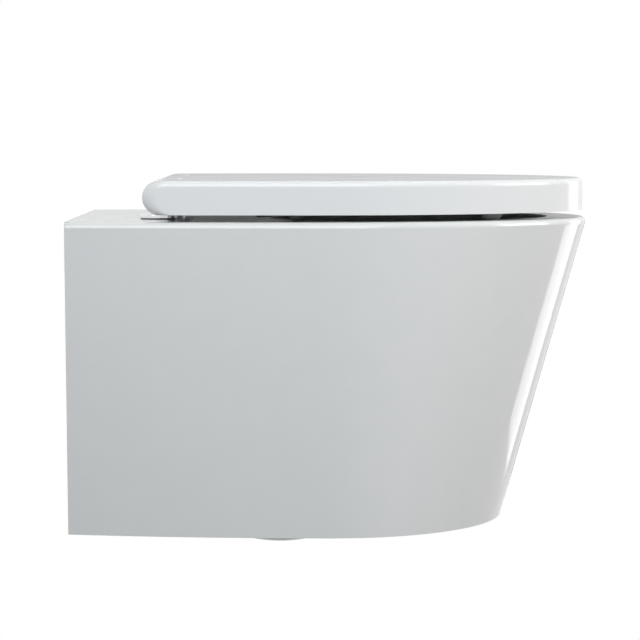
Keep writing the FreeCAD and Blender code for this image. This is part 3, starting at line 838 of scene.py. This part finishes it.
for side, name in ((-1, "left"), (1, "right")):
    housing = dressed(make_housing("hinge_housing_" + name, side * HINGE_X), "hinge_plastic")
    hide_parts("hinge_barrel_" + name)
    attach(housing, "pan_body")


# ---------------------------------------------------------------- studio
def looked_at(tree):
    """One where the camera, a gloss or a clear piece looks, nought for soft light."""
    rays = tree.nodes.new("ShaderNodeLightPath")
    seen = tree.nodes.new("ShaderNodeMath")
    seen.operation = "MAXIMUM"
    tree.links.new(rays.outputs["Is Camera Ray"], seen.inputs[0])
    tree.links.new(rays.outputs["Is Transmission Ray"], seen.inputs[1])
    both = tree.nodes.new("ShaderNodeMath")
    both.operation = "MAXIMUM"
    tree.links.new(seen.outputs[0], both.inputs[0])
    tree.links.new(rays.outputs["Is Glossy Ray"], both.inputs[1])
    return both


def make_world():
    world = bpy.data.worlds.new("studio")
    bpy.context.scene.world = world
    world.use_nodes = True
    tree = world.node_tree
    tree.nodes.clear()
    seen = looked_at(tree)
    white = tree.nodes.new("ShaderNodeBackground")
    white.inputs["Color"].default_value = (1, 1, 1, 1)
    white.inputs["Strength"].default_value = 1.0
    soft = tree.nodes.new("ShaderNodeBackground")
    soft.inputs["Color"].default_value = (*SKY_COLOUR, 1)
    direction = tree.nodes.new("ShaderNodeTexCoord")
    parts = tree.nodes.new("ShaderNodeSeparateXYZ")
    height = tree.nodes.new("ShaderNodeMapRange")
    for name, value in (("From Min", 0.0), ("From Max", 1.0),
                        ("To Min", SKY_AT_HORIZON), ("To Max", SKY_OVERHEAD)):
        height.inputs[name].default_value = value
    tree.links.new(direction.outputs["Generated"], parts.inputs[0])
    tree.links.new(parts.outputs["Z"], height.inputs["Value"])
    tree.links.new(height.outputs["Result"], soft.inputs["Strength"])
    mix = tree.nodes.new("ShaderNodeMixShader")
    out = tree.nodes.new("ShaderNodeOutputWorld")
    tree.links.new(seen.outputs[0], mix.inputs["Fac"])
    tree.links.new(soft.outputs[0], mix.inputs[1])
    tree.links.new(white.outputs[0], mix.inputs[2])
    tree.links.new(mix.outputs[0], out.inputs["Surface"])


def make_floor():
    clear_selection()
    bpy.ops.mesh.primitive_plane_add(size=FLOOR_SIZE, location=(0, -0.3, FLOOR_Z))
    floor = bpy.context.object
    floor.name = "floor"
    material = bpy.data.materials.new("pale_floor")
    material.use_nodes = True
    tree = material.node_tree
    tree.nodes.clear()
    seen = looked_at(tree)
    pale = tree.nodes.new("ShaderNodeBsdfDiffuse")
    pale.inputs["Color"].default_value = (FLOOR_GREY, FLOOR_GREY, FLOOR_GREY, 1)
    glow = tree.nodes.new("ShaderNodeEmission")
    glow.inputs["Strength"].default_value = FLOOR_GLOW
    close_by = tree.nodes.new("ShaderNodeAddShader")
    white = tree.nodes.new("ShaderNodeEmission")
    white.inputs["Strength"].default_value = 1.0
    place = tree.nodes.new("ShaderNodeTexCoord")
    away = tree.nodes.new("ShaderNodeVectorMath")
    away.operation = "LENGTH"
    far = tree.nodes.new("ShaderNodeMapRange")
    far.inputs["From Min"].default_value = FLOOR_TURNS_WHITE
    far.inputs["From Max"].default_value = FLOOR_IS_WHITE
    shown = tree.nodes.new("ShaderNodeMixShader")
    mix = tree.nodes.new("ShaderNodeMixShader")
    out = tree.nodes.new("ShaderNodeOutputMaterial")
    tree.links.new(place.outputs["Object"], away.inputs[0])
    tree.links.new(away.outputs["Value"], far.inputs["Value"])
    tree.links.new(pale.outputs[0], close_by.inputs[0])
    tree.links.new(glow.outputs[0], close_by.inputs[1])
    tree.links.new(far.outputs["Result"], shown.inputs["Fac"])
    tree.links.new(close_by.outputs[0], shown.inputs[1])
    tree.links.new(white.outputs[0], shown.inputs[2])
    tree.links.new(seen.outputs[0], mix.inputs["Fac"])
    tree.links.new(pale.outputs[0], mix.inputs[1])
    tree.links.new(shown.outputs[0], mix.inputs[2])
    tree.links.new(mix.outputs[0], out.inputs["Surface"])
    floor.data.materials.append(material)


def make_card(name, grey, low, high):
    """A grey card on the far side, for the glaze and the cover's top to mirror."""
    card = block(low, high)
    card.name = name
    card.visible_camera = False
    material = bpy.data.materials.new(name)
    material.use_nodes = True
    tree = material.node_tree
    tree.nodes.clear()
    paper = tree.nodes.new("ShaderNodeEmission")
    paper.inputs["Color"].default_value = (grey, grey, grey, 1)
    out = tree.nodes.new("ShaderNodeOutputMaterial")
    tree.links.new(paper.outputs[0], out.inputs["Surface"])
    card.data.materials.append(material)


def soft_box(name, place, target, size, power, colour=(1, 1, 1)):
    clear_selection()
    bpy.ops.object.light_add(type="AREA", location=place)
    lamp = bpy.context.object
    lamp.name = name
    lamp.data.shape = "RECTANGLE"
    lamp.data.size, lamp.data.size_y = size
    lamp.data.energy = power
    lamp.data.color = colour
    lamp.rotation_euler = (Vector(target) - Vector(place)).to_track_quat("-Z", "Y").to_euler()
    return lamp


make_world()
make_floor()
make_card("low_card", 0.12, (CARD_FACE, CARD_FRONT_Y, CARD_LOW),
          (CARD_BACK, CARD_SPLIT_Y, CARD_SPLIT_Z))
make_card("long_card", 0.60, (CARD_FACE, CARD_FRONT_Y, CARD_SPLIT_Z),
          (CARD_BACK, CARD_SPLIT_Y, CARD_TOP))
make_card("rear_card", 0.81, (CARD_FACE, CARD_SPLIT_Y, CARD_LOW),
          (CARD_BACK, CARD_REAR_Y, CARD_TOP))
soft_box("top_light", (1.1, -0.3, 1.75), (0, -0.27, 0), (1.3, 1.0), 2, (0.96, 0.985, 1.0))
soft_box("side_light", (-1.5, 0.0, 1.05), (-0.1, -0.25, 0), (1.7, 1.3), 20.5, (0.95, 0.985, 1.0))
soft_box("front_light", (-0.42, -2.1, 0.75), (0, -0.45, 0), (1.0, 0.9), 18, (1.0, 0.975, 0.93))
soft_box("edge_light", (1.45, -2.25, 0.0), (0, -0.5, 0), (0.9, 1.8), 10)

clear_selection()
bpy.ops.object.camera_add(location=CAMERA_PLACE,
                          rotation=(math.pi / 2 - CAMERA_DIP, 0, -math.pi / 2))
camera = bpy.context.object
camera.name = "camera"
camera.data.lens = CAMERA_LENS
camera.data.sensor_width = 36
camera.data.clip_end = 60
bpy.context.scene.camera = camera
bpy.context.scene.view_settings.view_transform = "Standard"
